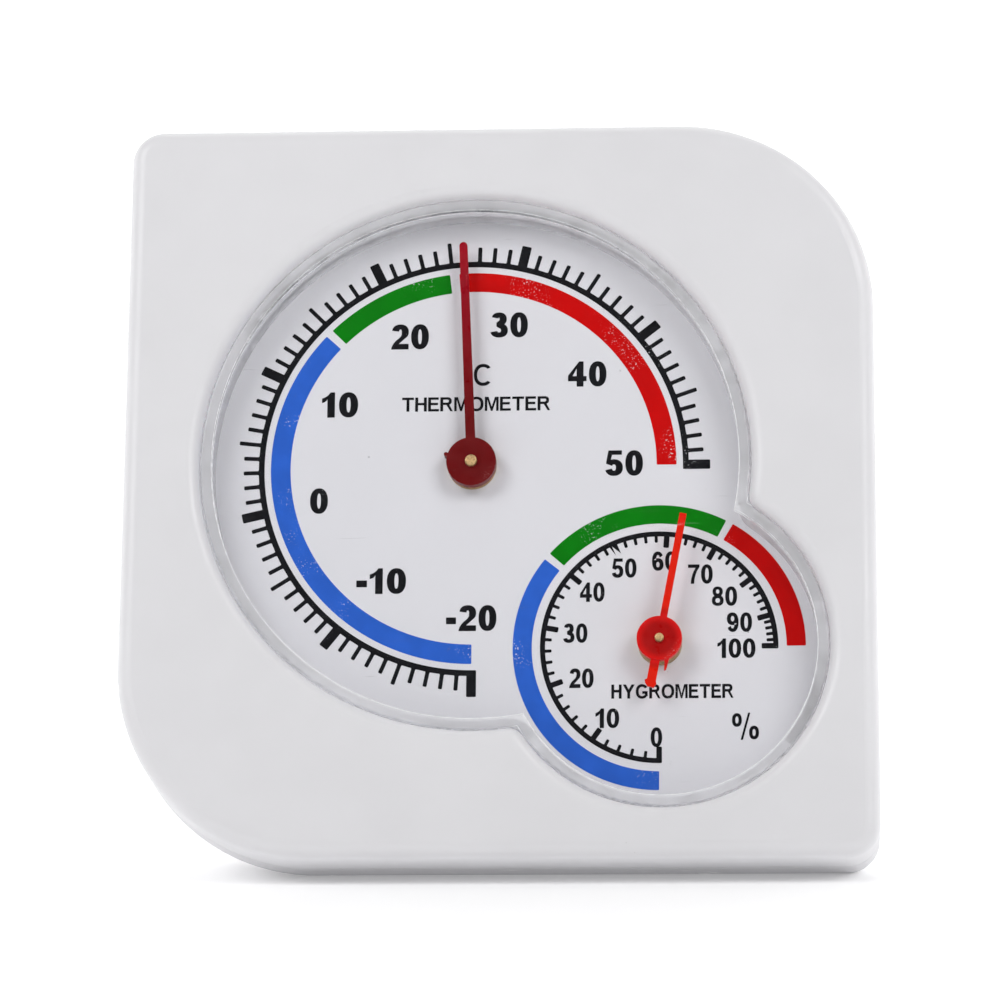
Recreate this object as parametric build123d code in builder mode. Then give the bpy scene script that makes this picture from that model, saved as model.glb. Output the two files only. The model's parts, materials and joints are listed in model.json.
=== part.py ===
from build123d import *
import os
from dataclasses import dataclass
from math import cos, radians, sin, sqrt, tan

# Dial thermometer and hygrometer in one square case, leaning back on a fold-out leg.
# The case is drawn on the dial plane: x to the viewer's right, y up the dial, and heights
# measured from the dial face towards the viewer. The origin of the model is the middle of
# the flat base that the case stands on, with +Z up and the dials facing -Y.

# ------------------------------------------------------------------ stance
lean = 20.0  # degrees the dials lean back
leg_slope = 10.0  # degrees of the open leg from the vertical

# ------------------------------------------------------------------ case
case_side = 73.5
case_top_gain = 0.4  # the case is this much taller than wide, all of it at the top
small_corner = 3.2  # top left and bottom right
large_corner = 19.0  # top right and bottom left
least_corner = 0.8
back_corner_gain = 1.2  # extra corner radius at the back of the taper
wall = 1.6
front_height = 5.6
seam_height = 0.0
rim_height = -3.5  # the rear cover is straight down to here, then draws in
back_height = -13.4
front_rounding = 1.5
back_rounding = 0.8
seam_chamfer = 0.2
base_trim = 0.02  # the tapered base is cut off this much, exactly flat
lip_gap = 0.1
lip_thickness = 0.8
lip_top = 1.2
lip_root = -2.0

# ------------------------------------------------------------------ window and lens
big_window_radius = 27.0
small_window_radius = 16.2
neck_rounding = 1.6
window_rounding = 1.2
collar_thickness = 1.4
lens_gap = 0.05
lens_skirt = 1.1
lens_flange = 1.15
flange_height = 1.2
lens_underside = 3.4
lens_height = 4.6
lens_rounding = 0.3

# ------------------------------------------------------------------ screws
boss_radius = 2.4
boss_gap = 0.25
boss_cap = 1.6  # solid end of each boss, above its pilot hole
boss_foot = -3.0
well_radius = 3.4
well_mouth_radius = 2.15
screw_seat = -5.5
pilot_radius = 1.0
shank_gap = 0.2
case_screw_places = [(-30.1, 30.1), (30.1, -30.1), (24.8, 24.8), (-24.8, -24.8)]
dial_screw_places = [(-31.2, 20.0), (31.2, 8.0), (-8.0, -31.2)]
dial_boss_radius = 1.9
dial_pilot_radius = 0.8
head_rounding = 0.45  # of a screw head's height
recess_width = 0.25  # of its radius
recess_length = 1.2  # of its radius
recess_depth = 0.6  # of its height
shank_chamfer = 0.4  # of the shank's radius

# ------------------------------------------------------------------ dial plate
dial_inset = 2.85
dial_thickness = 1.2
post_radius = 2.0
post_end = -6.2
post_cap = 1.0  # solid end of each post, behind the plate

# ------------------------------------------------------------------ movements
bridge_thickness = 1.0
bridge_width = 4.6
bearing_radius = 1.6
bearing_top = -5.45
rivet_size = 0.4
bush_rounding = 0.2
running_gap = 0.05
arbor_rounding = 0.15
shoulder_height = -5.3
pivot_step = 0.15
arbor_end = -7.7
ring_radius = 3.2
ring_thickness = 0.6
ring_top = -5.55
arm_width = 2.2
peg_radius = 0.6
peg_top = -2.9
collet_radius = 1.4
collet_bottom = -4.9
collet_top = -3.1
coil_bottom = -5.1
coil_top = -2.9
coil_first_radius = 1.9
coil_tab_start = 0.75

# ------------------------------------------------------------------ pointers
thermometer_reading = 2.55  # degrees anticlockwise from straight up
thermometer_hub_radius = 2.45
thermometer_hub = (0.8, 1.8)  # heights of its two faces
thermometer_blade = (1.2, 1.6)
thermometer_tip_reach = 22.75
thermometer_root_width = 0.97
thermometer_tip_width = 0.8
gate_place = (-2.45, 0.85)  # stub of the moulding channel at the hub's edge
gate_radius = 0.2
hygrometer_reading = -10.55
hygrometer_hub_radius = 2.2
hygrometer_hub = (1.8, 2.5)
hygrometer_blade = (2.0, 2.4)
hygrometer_tip_reach = 12.73
hygrometer_blade_width = 0.68
hygrometer_tail = [  # outline, with the torn end of a moulding channel at its tip
    (0.44, 0),
    (0.44, -4.2),
    (0.54, -4.5),
    (0.34, -4.9),
    (-0.3, -4.85),
    (-0.56, -4.55),
    (-0.64, -4.3),
    (-0.44, -4.15),
    (-0.44, 0),
]
sprue_spike = [(0.88, -1.9), (1.3, -1.7), (1.2, -2.95), (1.02, -3.05)]

# ------------------------------------------------------------------ rear cover details
keyhole_place = (0, 24.0)
keyhole_radius = 4.0
keyhole_slot_width = 4.4
keyhole_slot_top = 28.6
vent_rows = 8
vent_pitch = 3.2
vent_first_row = -19.2
vent_centre = 20.4
vent_length = 15.2
vent_width = 1.3

# ------------------------------------------------------------------ stand leg
pivot_place = (12.0, -11.9)  # y and height of the hinge axis
leg_top_width = 20.2
leg_foot_width = 15.0
leg_thickness = 2.0
foot_rounding = 0.95
foot_corner = 3.0
heel_length = 3.0
barrel_radius = 1.45
trunnion_radius = 0.9
trunnion_length = 1.5
trunnion_gap = 0.07
leg_side_gap = 0.3
pocket_wall = 1.3
pocket_floor = -10.6
hinge_pocket_floor = -9.35
hinge_pocket_reach = 3.6
lug_width = 2.6
lug_height = -9.6
lug_half_length = 2.6
nail_notch_width = 9.0
nail_notch_depth = 1.4
grip_count = 3
grip_start = 4.0  # first grip ridge, from the foot's end
grip_pitch = 1.6
grip_size = 0.4
grip_share = 0.6  # of the foot's width


@dataclass
class Instrument:
    """What differs between the two dials' movements."""

    name: str
    centre: tuple
    window: tuple
    arbor_radius: float
    arbor_tip: float
    bush_radius: float
    bush_top: float
    post_reach: float
    coil_thickness: float
    coil_pitch: float
    coil_half_turns: int
    arm_angle: float
    tail_angle: float
    tail_reach: float


thermometer = Instrument(
    name="thermometer",
    centre=(-2.77, 3.38),
    window=(-2.28, 2.75),
    arbor_radius=0.6,
    arbor_tip=2.2,
    bush_radius=2.4,
    bush_top=0.5,
    post_reach=11.5,
    coil_thickness=0.25,
    coil_pitch=0.9,
    coil_half_turns=14,
    arm_angle=45.0,
    tail_angle=220.0,
    tail_reach=14.5,
)

hygrometer = Instrument(
    name="hygrometer",
    centre=(15.68, -14.79),
    window=(15.98, -15.64),
    arbor_radius=0.45,
    arbor_tip=2.85,
    bush_radius=2.15,
    bush_top=1.2,
    post_reach=10.0,
    coil_thickness=0.2,
    coil_pitch=0.8,
    coil_half_turns=12,
    arm_angle=135.0,
    tail_angle=315.0,
    tail_reach=9.5,
)


@dataclass
class Screw:
    """Sizes of a pan-head screw."""

    head_radius: float
    head_height: float
    shank_radius: float
    shank_length: float


case_screw = Screw(head_radius=1.9, head_height=1.4, shank_radius=pilot_radius, shank_length=7.0)
dial_screw = Screw(head_radius=1.6, head_height=1.0, shank_radius=dial_pilot_radius, shank_length=3.4)
bridge_screw = Screw(head_radius=1.6, head_height=0.7, shank_radius=dial_pilot_radius, shank_length=4.0)

# ------------------------------------------------------------------ planes
rise = Vector(0, sin(radians(lean)), cos(radians(lean)))
facing = Vector(0, -cos(radians(lean)), sin(radians(lean)))
half_side = case_side / 2
taper = tan(radians(lean))  # the base tapers by the lean, so it lies flat on the floor
back_inset = (rim_height - back_height) * taper
base_y = back_inset / 2 - half_side
base_height = (rim_height + back_height) / 2
dial_origin = rise * -base_y + facing * -base_height - Vector(0, 0, base_trim)
DIAL = Plane(origin=dial_origin, x_dir=(1, 0, 0), z_dir=facing)
OUTWARD = Axis(DIAL.origin, DIAL.z_dir)


def level(height):
    """The dial plane, moved towards the viewer."""
    return DIAL.offset(height)


def on_axis(instrument, height, turn=0.0):
    """A plane across an instrument's axis, turned about it."""
    x, y = instrument.centre
    return Plane(level(height).location * Location((x, y, 0), (0, 0, turn)))


def draw_case(inset, corner_gain=0.0):
    """Draws the case outline, drawn in, in the active sketch."""
    half = half_side - inset
    small = max(small_corner - inset, least_corner) + corner_gain
    large = large_corner - inset
    top = half + case_top_gain
    corners = [(-half, top), (half, top), (half, -half), (-half, -half)]
    with BuildLine() as outline:
        FilletPolyline(*corners, radius=[small, large, small, large], close=True)
    make_face(outline.edges())


def draw_window(growth):
    """Draws the figure-eight window outline, grown all round, in the active sketch."""
    big = Vector(thermometer.window)
    small = Vector(hygrometer.window)
    big_radius = big_window_radius + growth
    small_radius = small_window_radius + growth
    corner = neck_rounding - growth
    span = (small - big).length
    along = (small - big).normalized()
    run = (span**2 + (big_radius + corner) ** 2 - (small_radius + corner) ** 2) / (2 * span)
    rise_off_line = sqrt((big_radius + corner) ** 2 - run**2)
    big_ends = []
    small_ends = []
    with BuildLine() as outline:
        for side in (Vector(-along.Y, along.X), Vector(along.Y, -along.X)):
            neck = big + along * run + side * rise_off_line
            to_big = (big - neck).normalized() * corner
            to_small = (small - neck).normalized() * corner
            to_middle = (to_big + to_small).normalized() * corner
            ThreePointArc(neck + to_big, neck + to_middle, neck + to_small)
            big_ends.append(neck + to_big)
            small_ends.append(neck + to_small)
        ThreePointArc(big_ends[0], big - along * big_radius, big_ends[1])
        ThreePointArc(small_ends[0], small + along * small_radius, small_ends[1])
    make_face(outline.edges())


os.makedirs("parts", exist_ok=True)


def finish(builder, name):
    """Names a piece and writes it."""
    builder.part.label = name
    export_step(builder.part, f"parts/{name}.step")


def make_screws(places, seat, screw):
    """Pan-head screws with cross recesses, their shanks pointing to the front."""
    crown = seat - screw.head_height
    slot = (recess_length * screw.head_radius, recess_width * screw.head_radius)
    with BuildPart() as screws:
        with BuildSketch(level(crown)):
            with Locations(*places):
                Circle(screw.head_radius)
        extrude(amount=screw.head_height)
        fillet(screws.edges().group_by(OUTWARD)[0], radius=head_rounding * screw.head_height)
        with BuildSketch(level(seat)):
            with Locations(*places):
                Circle(screw.shank_radius)
        extrude(amount=screw.shank_length)
        chamfer(screws.edges().group_by(OUTWARD)[-1], length=shank_chamfer * screw.shank_radius)
        with BuildSketch(level(crown)):
            with Locations(*places):
                Rectangle(*slot)
                Rectangle(*slot, rotation=90)
        extrude(amount=recess_depth * screw.head_height, mode=Mode.SUBTRACT)
    return screws


# ================================================================== case pieces
with BuildPart() as front_bezel:
    with BuildSketch(level(seam_height)):
        draw_case(0)
    extrude(amount=front_height - seam_height)
    fillet(front_bezel.edges().group_by(OUTWARD)[-1], radius=front_rounding)
    with BuildSketch(level(seam_height)):
        draw_case(wall)
    extrude(amount=front_height - wall - seam_height, mode=Mode.SUBTRACT)
    with BuildSketch(level(flange_height)):
        draw_window(collar_thickness)
    extrude(amount=front_height - wall - flange_height)
    with BuildSketch(level(boss_foot)):
        with Locations(*case_screw_places):
            Circle(boss_radius)
    extrude(amount=front_height - wall - boss_foot)
    with BuildSketch(level(seam_height)):
        with Locations(*dial_screw_places):
            Circle(dial_boss_radius)
    extrude(amount=front_height - wall - seam_height)
    with BuildSketch(level(flange_height)):
        draw_window(0)
    extrude(amount=front_height, mode=Mode.SUBTRACT)
    front_face = front_bezel.faces().sort_by(OUTWARD)[-1]
    fillet(front_face.inner_wires()[0].edges(), radius=window_rounding)
    with BuildSketch(level(boss_foot)):
        with Locations(*case_screw_places):
            Circle(pilot_radius)
    extrude(amount=front_height - wall - boss_cap - boss_foot, mode=Mode.SUBTRACT)
    with BuildSketch(level(seam_height)):
        with Locations(*dial_screw_places):
            Circle(dial_pilot_radius)
    extrude(amount=front_height - wall - boss_cap - seam_height, mode=Mode.SUBTRACT)
finish(front_bezel, "front_bezel")

with BuildPart() as lens:
    with BuildSketch(level(0)):
        draw_window(-lens_gap)
    extrude(amount=lens_height)
    fillet(lens.edges().group_by(OUTWARD)[-1], radius=lens_rounding)
    with BuildSketch(level(0)):
        draw_window(lens_flange)
    extrude(amount=flange_height)
    with BuildSketch(level(0)):
        draw_window(-lens_gap - lens_skirt)
    extrude(amount=lens_underside, mode=Mode.SUBTRACT)
finish(lens, "lens")

post_places = [
    (instrument.centre[0] + side * instrument.post_reach, instrument.centre[1])
    for instrument in (thermometer, hygrometer)
    for side in (-1, 1)
]

with BuildPart() as dial_plate:
    with BuildSketch(level(-dial_thickness)):
        draw_case(dial_inset)
    extrude(amount=dial_thickness)
    with BuildSketch(level(post_end)):
        with Locations(*post_places):
            Circle(post_radius)
    extrude(amount=-dial_thickness - post_end)
    with BuildSketch(level(-dial_thickness)):
        with Locations(*case_screw_places):
            Circle(boss_radius + boss_gap)
        with Locations(*dial_screw_places):
            Circle(dial_pilot_radius + shank_gap)
        with Locations(thermometer.centre, hygrometer.centre):
            Circle(bearing_radius - running_gap)
    extrude(amount=dial_thickness, mode=Mode.SUBTRACT)
    with BuildSketch(level(post_end)):
        with Locations(*post_places):
            Circle(dial_pilot_radius)
    extrude(amount=-dial_thickness - post_cap - post_end, mode=Mode.SUBTRACT)
finish(dial_plate, "dial_plate")

# ------------------------------------------------------------------ rear cover
pivot_y, pivot_height = pivot_place
pivot_point = DIAL.from_local_coords(Vector(0, pivot_y, pivot_height))
foot_gap = (leg_thickness / 2 - foot_rounding) * sin(radians(leg_slope))
foot_drop = pivot_point.Z - foot_rounding - foot_gap
leg_reach = foot_drop / cos(radians(leg_slope)) + foot_rounding
pocket_half = leg_top_width / 2 + leg_side_gap
pocket_bottom = pivot_y - leg_reach - leg_side_gap * 2
pocket_step = pivot_y - hinge_pocket_reach
pocket_top = pivot_y + hinge_pocket_reach

# the inside of the cover, less the wells and the leg's pocket
with BuildPart() as cover_cavity:
    with BuildSketch(level(rim_height)):
        draw_case(wall)
    extrude(amount=seam_height - rim_height)
    with BuildSketch(level(rim_height)):
        draw_case(wall)
    with BuildSketch(level(back_height + wall)):
        draw_case(wall + back_inset - wall * taper)
    loft(ruled=True)
    with BuildSketch(level(back_height)):
        with Locations(*case_screw_places):
            Circle(well_radius)
    extrude(amount=boss_foot - back_height, mode=Mode.SUBTRACT)
    with BuildSketch(level(back_height)):
        with Locations((0, (pocket_step - half_side) / 2)):
            Rectangle(2 * (pocket_half + pocket_wall), pocket_step + half_side)
    extrude(amount=pocket_floor + pocket_wall - back_height, mode=Mode.SUBTRACT)
    with BuildSketch(level(back_height)):
        with Locations((0, pivot_y)):
            Rectangle(2 * (pocket_half + pocket_wall), 2 * (hinge_pocket_reach + pocket_wall))
    extrude(amount=hinge_pocket_floor + pocket_wall - back_height, mode=Mode.SUBTRACT)
    with BuildSketch(level(back_height)):
        with Locations((0, pivot_y)):
            Rectangle(2 * (pocket_half + lug_width), 2 * lug_half_length)
    extrude(amount=lug_height - back_height, mode=Mode.SUBTRACT)

with BuildPart() as rear_cover:
    with BuildSketch(level(rim_height)):
        draw_case(0)
    extrude(amount=seam_height - rim_height)
    with BuildSketch(level(rim_height)):
        draw_case(0)
    with BuildSketch(level(back_height)):
        draw_case(back_inset, corner_gain=back_corner_gain)
    loft(ruled=True)
    fillet(rear_cover.edges().group_by(OUTWARD)[0], radius=back_rounding)
    chamfer(rear_cover.edges().group_by(OUTWARD)[-1], length=seam_chamfer)
    split(bisect_by=Plane.XY, keep=Keep.TOP)
    add(cover_cavity.part, mode=Mode.SUBTRACT)
    # lip inside the bezel's wall
    with BuildSketch(level(lip_root)):
        draw_case(wall - lip_gap)
        with BuildSketch(mode=Mode.SUBTRACT):
            draw_case(wall + lip_gap + lip_thickness)
    extrude(amount=seam_height - lip_root)
    with BuildSketch(level(seam_height)):
        draw_case(wall + lip_gap)
        with BuildSketch(mode=Mode.SUBTRACT):
            draw_case(wall + lip_gap + lip_thickness)
    extrude(amount=lip_top - seam_height)
    # screw wells
    with BuildSketch(level(back_height)):
        with Locations(*case_screw_places):
            Circle(well_mouth_radius)
    extrude(amount=screw_seat - back_height, mode=Mode.SUBTRACT)
    with BuildSketch(level(screw_seat)):
        with Locations(*case_screw_places):
            Circle(pilot_radius + shank_gap)
    extrude(amount=boss_foot - screw_seat, mode=Mode.SUBTRACT)
    # pocket of the leg
    with BuildSketch(level(back_height)):
        with Locations((0, (pocket_step + pocket_bottom) / 2)):
            Rectangle(2 * pocket_half, pocket_step - pocket_bottom)
    extrude(amount=pocket_floor - back_height, mode=Mode.SUBTRACT)
    with BuildSketch(level(back_height)):
        with Locations((0, pivot_y)):
            Rectangle(2 * pocket_half, 2 * hinge_pocket_reach)
    extrude(amount=hinge_pocket_floor - back_height, mode=Mode.SUBTRACT)
    with BuildSketch(level(back_height)):
        with Locations((0, pocket_bottom)):
            Rectangle(nail_notch_width, 2 * half_side + 2 * pocket_bottom)
    extrude(amount=nail_notch_depth, mode=Mode.SUBTRACT)
    # sockets of the leg's trunnions
    with BuildSketch(Plane(pivot_point, x_dir=DIAL.y_dir, z_dir=(1, 0, 0))):
        Circle(trunnion_radius + trunnion_gap)
    extrude(amount=pocket_half + trunnion_length, both=True, mode=Mode.SUBTRACT)
    # hanging keyhole
    with BuildSketch(level(back_height)):
        with Locations(keyhole_place):
            Circle(keyhole_radius)
        with Locations((0, keyhole_slot_top)):
            Circle(keyhole_slot_width / 2)
        with Locations((0, (keyhole_place[1] + keyhole_slot_top) / 2)):
            Rectangle(keyhole_slot_width, keyhole_slot_top - keyhole_place[1])
    extrude(amount=wall, mode=Mode.SUBTRACT)
    # vents
    with BuildSketch(level(back_height)):
        for row in range(vent_rows):
            row_y = vent_first_row + row * vent_pitch
            with Locations((-vent_centre, row_y), (vent_centre, row_y)):
                SlotOverall(vent_length, vent_width)
    extrude(amount=wall, mode=Mode.SUBTRACT)
finish(rear_cover, "rear_cover")

finish(make_screws(case_screw_places, screw_seat, case_screw), "case_screws")
finish(make_screws(dial_screw_places, -dial_thickness, dial_screw), "dial_screws")

# ================================================================== stand leg
leg_normal = (0, -cos(radians(leg_slope)), -sin(radians(leg_slope)))
LEG = Plane(pivot_point, x_dir=(1, 0, 0), z_dir=leg_normal)
HINGE = Plane(pivot_point, x_dir=LEG.y_dir, z_dir=(1, 0, 0))

with BuildPart() as stand_leg:
    with BuildSketch(LEG.offset(-leg_thickness / 2)):
        with BuildLine():
            FilletPolyline(
                (-leg_top_width / 2, heel_length),
                (leg_top_width / 2, heel_length),
                (leg_foot_width / 2, -leg_reach),
                (-leg_foot_width / 2, -leg_reach),
                radius=[0, 0, foot_corner, foot_corner],
                close=True,
            )
        make_face()
    extrude(amount=leg_thickness)
    leg_axis = Axis(LEG.origin, LEG.y_dir)
    fillet(stand_leg.edges().filter_by(Axis.X).group_by(leg_axis)[0], radius=foot_rounding)
    with BuildSketch(HINGE.offset(-leg_top_width / 2)):
        Circle(barrel_radius)
    extrude(amount=leg_top_width)
    with BuildSketch(HINGE.offset(-pocket_half - trunnion_length + leg_side_gap)):
        Circle(trunnion_radius)
    extrude(amount=2 * (pocket_half + trunnion_length - leg_side_gap))
    with BuildSketch(LEG.offset(-leg_thickness / 2 - grip_size)):
        for ridge in range(grip_count):
            with Locations((0, grip_start + ridge * grip_pitch - leg_reach)):
                SlotOverall(leg_foot_width * grip_share, grip_size * 2)
    extrude(amount=grip_size * 2)
finish(stand_leg, "stand_leg")


# ================================================================== movements
def make_bush(instrument):
    """Brass bearing through the dial plate, riveted over behind it."""
    bore = instrument.arbor_radius + running_gap
    barrel = bearing_radius - running_gap
    with BuildPart() as bush:
        with BuildSketch(level(-dial_thickness)):
            with Locations(instrument.centre):
                Circle(barrel)
        extrude(amount=dial_thickness)
        with BuildSketch(level(0)):
            with Locations(instrument.centre):
                Circle(instrument.bush_radius)
        extrude(amount=instrument.bush_top)
        fillet(bush.edges().group_by(OUTWARD)[-1], radius=bush_rounding)
        with BuildSketch(level(-dial_thickness - rivet_size)):
            with Locations(instrument.centre):
                Circle(barrel + rivet_size)
        extrude(amount=rivet_size)
        with BuildSketch(level(-dial_thickness - rivet_size)):
            with Locations(instrument.centre):
                Circle(bore)
        extrude(amount=dial_thickness + rivet_size + instrument.bush_top, mode=Mode.SUBTRACT)
    return bush


def make_arbor(instrument):
    """Shaft from the pointer back to the bridge, with a stepped rear pivot."""
    with BuildPart() as arbor:
        with BuildSketch(level(shoulder_height)):
            with Locations(instrument.centre):
                Circle(instrument.arbor_radius)
        extrude(amount=instrument.arbor_tip - shoulder_height)
        fillet(arbor.edges().group_by(OUTWARD)[-1], radius=arbor_rounding)
        with BuildSketch(level(arbor_end)):
            with Locations(instrument.centre):
                Circle(instrument.arbor_radius - pivot_step)
        extrude(amount=shoulder_height - arbor_end)
    return arbor


def make_collet(instrument):
    """Brass collar on the arbor, slotted for the coil's inner end."""
    slot_width = instrument.coil_thickness + 2 * running_gap
    slot_start = instrument.arbor_radius + running_gap
    with BuildPart() as collet:
        with BuildSketch(on_axis(instrument, collet_bottom, instrument.arm_angle)):
            Circle(collet_radius)
            Circle(instrument.arbor_radius, mode=Mode.SUBTRACT)
            with Locations((slot_start, 0)):
                Rectangle(
                    collet_radius * 2, slot_width, align=(Align.MIN, Align.CENTER), mode=Mode.SUBTRACT
                )
        extrude(amount=collet_top - collet_bottom)
    return collet


def coil_end_radius(instrument):
    """Radius of the middle of the coil's outer end."""
    return coil_first_radius + instrument.coil_pitch / 2 * instrument.coil_half_turns


def make_coil(instrument):
    """Spiral strip of half turns about two centres, its outer end at the adjuster's arm."""
    half = instrument.coil_thickness / 2
    growth = instrument.coil_pitch / 2
    outer_end = coil_end_radius(instrument)
    with BuildPart() as coil:
        with BuildSketch(on_axis(instrument, coil_bottom, instrument.arm_angle)):
            with BuildLine():
                for side in (-half, half):
                    for turn in range(instrument.coil_half_turns):
                        centre = (growth * (turn % 2), 0)
                        radius = coil_first_radius + growth * turn + side
                        CenterArc(centre, radius, 180 * (turn % 2), 180)
                Line((coil_first_radius - half, 0), (coil_first_radius + half, 0))
                Line((outer_end - half, 0), (outer_end + half, 0))
            make_face()
            with Locations((coil_tab_start, 0)):
                Rectangle(
                    coil_first_radius - coil_tab_start,
                    instrument.coil_thickness,
                    align=(Align.MIN, Align.CENTER),
                )
        extrude(amount=coil_top - coil_bottom)
    return coil


def make_adjuster(instrument):
    """Calibrating lever: a ring on the bridge's bearing, an arm with the coil's peg, and a tail."""
    peg_reach = coil_end_radius(instrument) + instrument.coil_thickness / 2 + peg_radius
    with BuildPart() as adjuster:
        with BuildSketch(on_axis(instrument, ring_top - ring_thickness)):
            Circle(ring_radius)
            with Locations(Rotation(0, 0, instrument.arm_angle)):
                SlotCenterPoint((peg_reach / 2, 0), (peg_reach, 0), arm_width)
            with Locations(Rotation(0, 0, instrument.tail_angle)):
                SlotCenterPoint(
                    (instrument.tail_reach / 2, 0), (instrument.tail_reach - arm_width / 2, 0), arm_width
                )
            Circle(bearing_radius + running_gap, mode=Mode.SUBTRACT)
        extrude(amount=ring_thickness)
        with BuildSketch(on_axis(instrument, ring_top, instrument.arm_angle)):
            with Locations((peg_reach, 0)):
                Circle(peg_radius)
        extrude(amount=peg_top - ring_top)
    return adjuster


def make_bridge(instrument):
    """Bar across the two posts, with the rear bearing in its middle."""
    bearing_bore = instrument.arbor_radius - pivot_step + running_gap
    ends = [(-instrument.post_reach, 0), (instrument.post_reach, 0)]
    with BuildPart() as bridge:
        with BuildSketch(on_axis(instrument, post_end - bridge_thickness)):
            SlotCenterToCenter(2 * instrument.post_reach, bridge_width)
            with Locations(*ends):
                Circle(dial_pilot_radius + shank_gap, mode=Mode.SUBTRACT)
        extrude(amount=bridge_thickness)
        with BuildSketch(on_axis(instrument, post_end)):
            Circle(bearing_radius)
        extrude(amount=bearing_top - post_end)
        with BuildSketch(on_axis(instrument, post_end - bridge_thickness)):
            Circle(bearing_bore)
        extrude(amount=bridge_thickness + bearing_top - post_end, mode=Mode.SUBTRACT)
    return bridge


for instrument in (thermometer, hygrometer):
    finish(make_bush(instrument), f"{instrument.name}_bush")
    finish(make_arbor(instrument), f"{instrument.name}_arbor")
    finish(make_collet(instrument), f"{instrument.name}_collet")
    finish(make_coil(instrument), f"{instrument.name}_coil")
    finish(make_adjuster(instrument), f"{instrument.name}_adjuster")
    finish(make_bridge(instrument), f"{instrument.name}_bridge")

bridge_back = post_end - bridge_thickness
finish(make_screws(post_places, bridge_back, bridge_screw), "bridge_screws")

# ================================================================== pointers
with BuildPart() as thermometer_pointer:
    with BuildSketch(on_axis(thermometer, thermometer_blade[0], thermometer_reading)):
        tip_radius = thermometer_tip_width / 2
        Polygon(
            (-thermometer_root_width / 2, 0),
            (thermometer_root_width / 2, 0),
            (tip_radius, thermometer_tip_reach - tip_radius),
            (-tip_radius, thermometer_tip_reach - tip_radius),
            align=None,
        )
        with Locations((0, thermometer_tip_reach - tip_radius)):
            Circle(tip_radius)
    extrude(amount=thermometer_blade[1] - thermometer_blade[0])
    with BuildSketch(on_axis(thermometer, thermometer_hub[0], thermometer_reading)):
        Circle(thermometer_hub_radius)
        with Locations(gate_place):
            Circle(gate_radius)
    extrude(amount=thermometer_hub[1] - thermometer_hub[0])
    with BuildSketch(on_axis(thermometer, thermometer_hub[0])):
        Circle(thermometer.arbor_radius)
    extrude(amount=thermometer_hub[1] - thermometer_hub[0], mode=Mode.SUBTRACT)
finish(thermometer_pointer, "thermometer_pointer")

with BuildPart() as hygrometer_pointer:
    with BuildSketch(on_axis(hygrometer, hygrometer_blade[0], hygrometer_reading)):
        Rectangle(hygrometer_blade_width, hygrometer_tip_reach, align=(Align.CENTER, Align.MIN))
        Polygon(*hygrometer_tail, align=None)
        Polygon(*sprue_spike, align=None)
    extrude(amount=hygrometer_blade[1] - hygrometer_blade[0])
    with BuildSketch(on_axis(hygrometer, hygrometer_hub[0])):
        Circle(hygrometer_hub_radius)
    extrude(amount=hygrometer_hub[1] - hygrometer_hub[0])
    with BuildSketch(on_axis(hygrometer, hygrometer_hub[0])):
        Circle(hygrometer.arbor_radius)
    extrude(amount=hygrometer_hub[1] - hygrometer_hub[0], mode=Mode.SUBTRACT)
finish(hygrometer_pointer, "hygrometer_pointer")
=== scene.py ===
"""Looks of the dial thermometer and hygrometer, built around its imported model."""
import json
from math import cos, pi, radians, sin

import bmesh
import bpy
from mathutils import Matrix, Vector


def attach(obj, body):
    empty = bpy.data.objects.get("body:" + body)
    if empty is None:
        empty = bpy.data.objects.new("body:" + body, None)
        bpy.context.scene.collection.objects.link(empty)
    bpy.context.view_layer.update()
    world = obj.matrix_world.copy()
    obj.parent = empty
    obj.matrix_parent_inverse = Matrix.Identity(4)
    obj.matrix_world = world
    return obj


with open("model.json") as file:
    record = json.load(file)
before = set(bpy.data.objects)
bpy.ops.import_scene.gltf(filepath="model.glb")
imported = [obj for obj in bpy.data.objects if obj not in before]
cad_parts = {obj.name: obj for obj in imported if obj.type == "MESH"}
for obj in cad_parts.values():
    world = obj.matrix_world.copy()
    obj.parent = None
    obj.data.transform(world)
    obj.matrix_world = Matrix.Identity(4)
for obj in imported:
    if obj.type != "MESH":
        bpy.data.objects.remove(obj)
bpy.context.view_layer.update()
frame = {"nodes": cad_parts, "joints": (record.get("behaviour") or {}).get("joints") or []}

MM = 0.001
JOINTS = {joint["name"]: joint for joint in frame["joints"]}

# ------------------------------------------------------------------ the dial's own directions
ACROSS = Vector((1, 0, 0))
FACING = -Vector(JOINTS["temperature"]["axis"]).normalized()
RISE = FACING.cross(ACROSS)
TURN = Matrix((ACROSS, RISE, FACING)).transposed()

# the window's two circles: middle right and up on the dial's plane, and radius, in millimetres
THERMOMETER_AXIS = Vector(JOINTS["temperature"]["pos_m"]) / MM
WINDOWS = (
    ((THERMOMETER_AXIS.x + 0.49, RISE.dot(THERMOMETER_AXIS) - 0.63), 27.0),
    ((THERMOMETER_AXIS.x + 18.75, RISE.dot(THERMOMETER_AXIS) - 19.02), 16.2),
)

# where each print lies, in millimetres from its pointer's axis
THERMOMETER_PRINT = (0.09, -0.03)
HYGROMETER_PRINT = (-0.10, -0.25)
PRINT_DEPTH = 0.01  # how far a print reaches into the dial plate
PRINT_TOP = 0.015  # how far it stands above it
WELD = 1e-5  # points of a print nearer than this, in millimetres, are joined


def on_dial(joint, shift=(0, 0)):
    """Places millimetre drawings on the dial, x right and y up from a pointer's axis."""
    origin = Vector(JOINTS[joint]["pos_m"]) + (ACROSS * shift[0] + RISE * shift[1]) * MM
    return Matrix.Translation(origin) @ (TURN * MM).to_4x4()


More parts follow.
